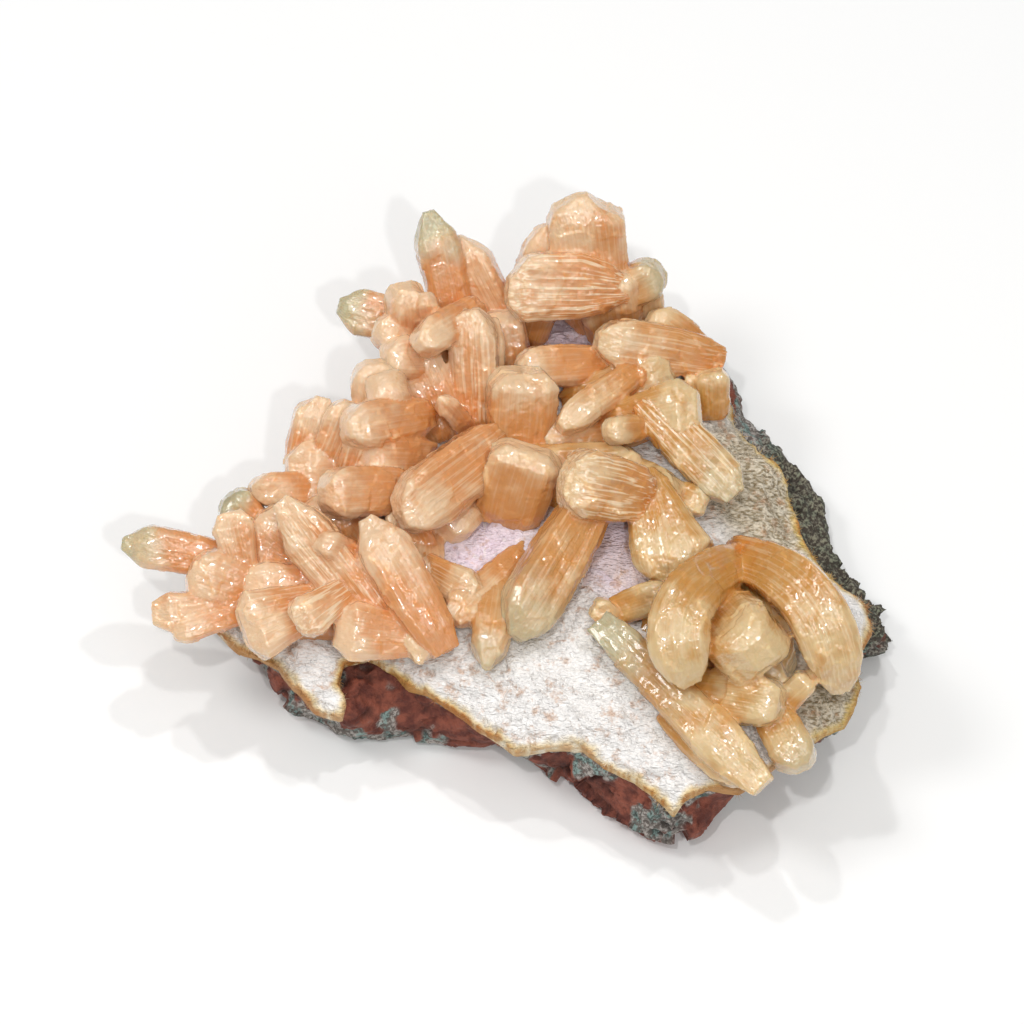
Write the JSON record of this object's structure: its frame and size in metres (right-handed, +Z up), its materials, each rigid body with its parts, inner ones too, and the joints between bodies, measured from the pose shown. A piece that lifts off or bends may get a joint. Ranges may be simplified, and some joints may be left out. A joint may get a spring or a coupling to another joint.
{
  "type": "stilbite with mordenite mineral specimen",
  "caption": "Hand-sized mineral specimen: a broken basalt slab with a thin fibrous mordenite crust and joined clusters of bladed stilbite crystals, lying on its flat underside.",
  "frame": {"origin": "middle of the bounding box, on the underside that the specimen lies on", "axes": "+Z is up from the underside, +X is the viewer's right along the longest side, and the viewer stands at -Y"},
  "size_m": [0.0776, 0.0636, 0.0255],
  "materials": {
    "basalt": "matte, broken and weathered",
    "mordenite": "matte, fine fibrous crust",
    "stilbite": "translucent, glassy to pearly, striated"
  },
  "bodies": {
    "root": {"basalt_matrix": "basalt", "mordenite_crust": "mordenite", "stilbite_crown": "stilbite", "stilbite_spires": "stilbite", "stilbite_ridge": "stilbite", "stilbite_heart": "stilbite", "stilbite_fans": "stilbite", "stilbite_shoulder": "stilbite", "stilbite_left": "stilbite", "stilbite_arch": "stilbite"}
  },
  "joints": []
}
